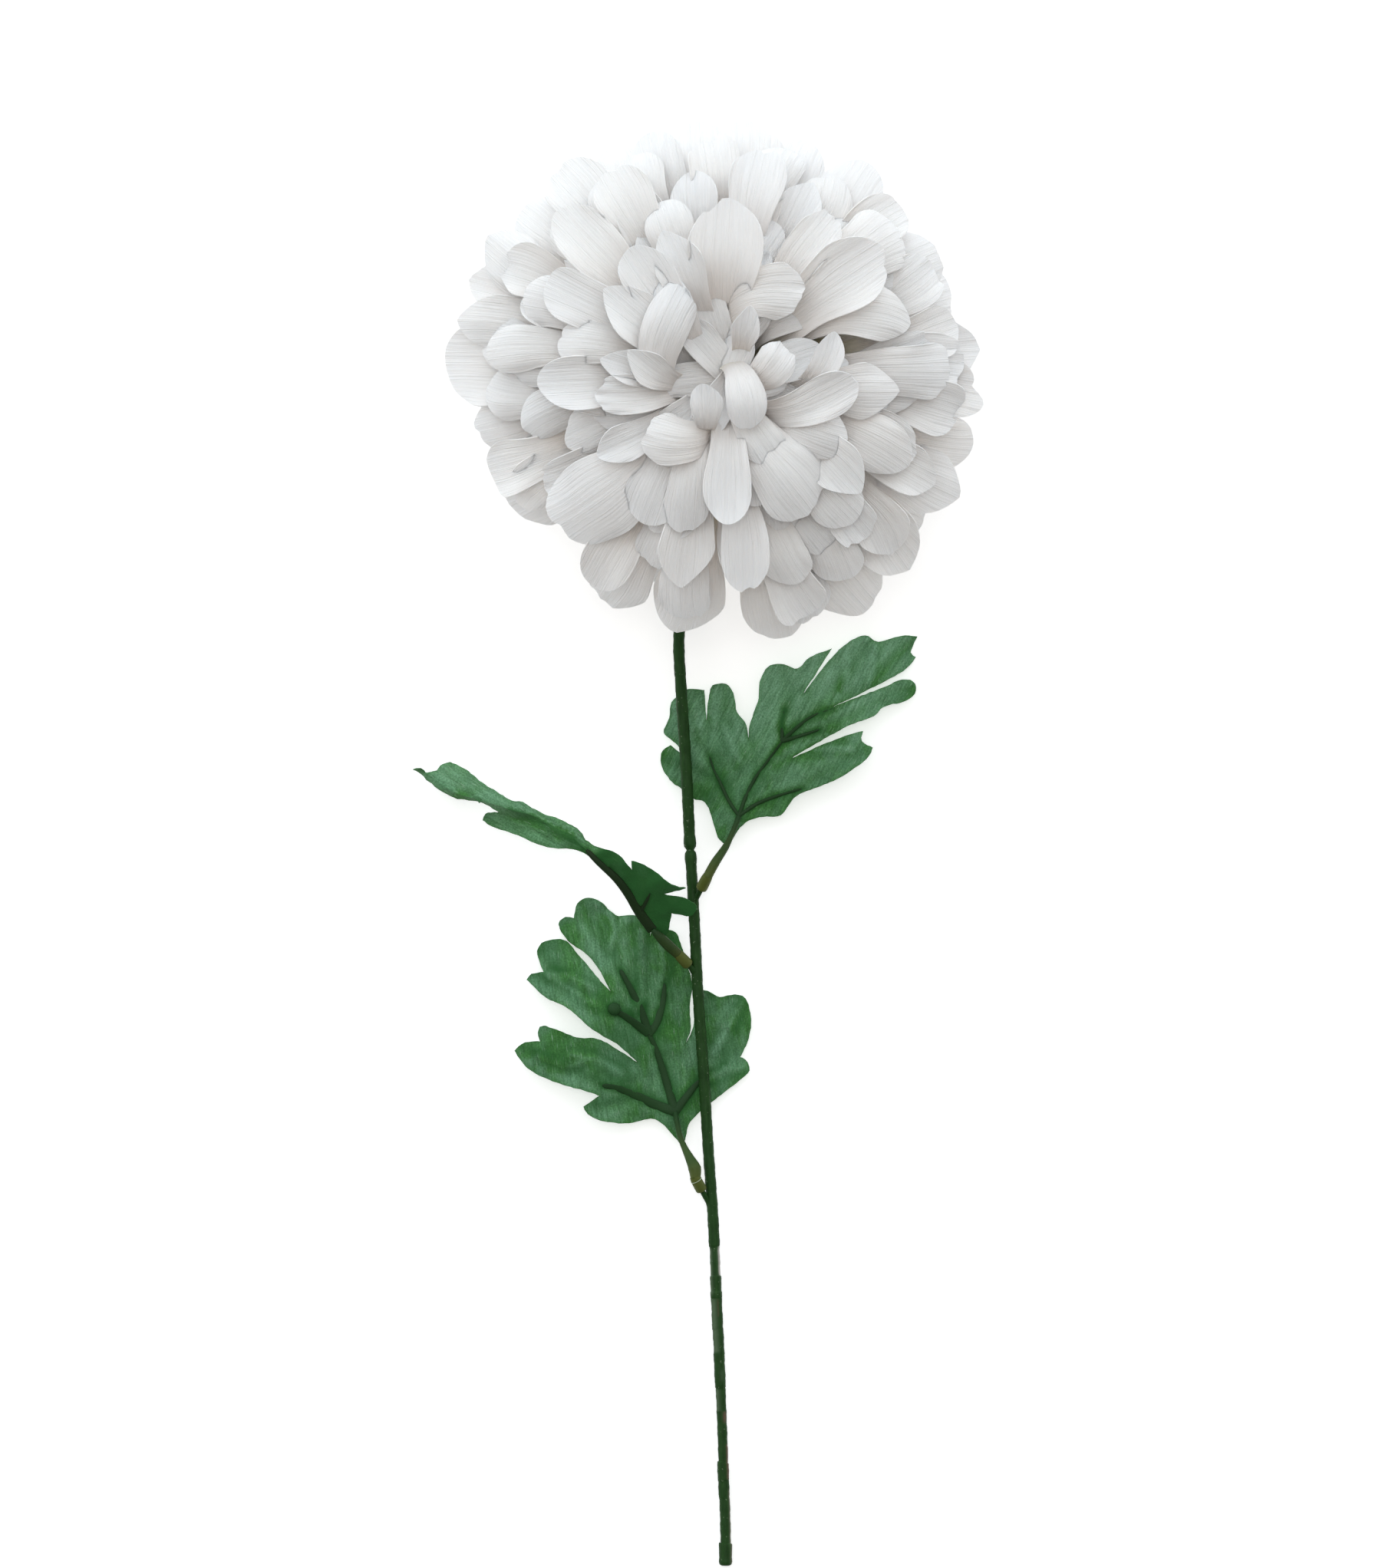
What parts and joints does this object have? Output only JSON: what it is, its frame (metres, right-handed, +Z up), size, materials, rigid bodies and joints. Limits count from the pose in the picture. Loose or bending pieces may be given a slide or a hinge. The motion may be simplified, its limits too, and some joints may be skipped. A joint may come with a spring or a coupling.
{
  "type": "artificial pompon chrysanthemum stem",
  "caption": "Artificial pompon chrysanthemum: a full round bloom of fabric petals on a long coated stem with lobed leaves, lying down.",
  "frame": {"origin": "on the surface that the flower lies on, under the middle of the whole flower's box", "axes": "+Z up, out of the bloom's face; +Y along the stem from its cut end to the bloom; +X to the right when the bloom faces the viewer and points up"},
  "size_m": [0.2062, 0.5256, 0.1189],
  "materials": {
    "petal": "matte woven white fabric",
    "leaf": "matte woven green fabric",
    "stem": "dark green coating with fine grain",
    "stalk": "olive green moulded plastic",
    "calyx": "green moulded plastic"
  },
  "bodies": {
    "root": {"bloom": "petal", "calyx": "calyx", "stem": "stem", "leaf_right_blade": "leaf", "leaf_right_stalk": "stalk", "leaf_left_blade": "leaf", "leaf_left_stalk": "stalk", "leaf_lower_blade": "leaf", "leaf_lower_stalk": "stalk"}
  },
  "joints": []
}
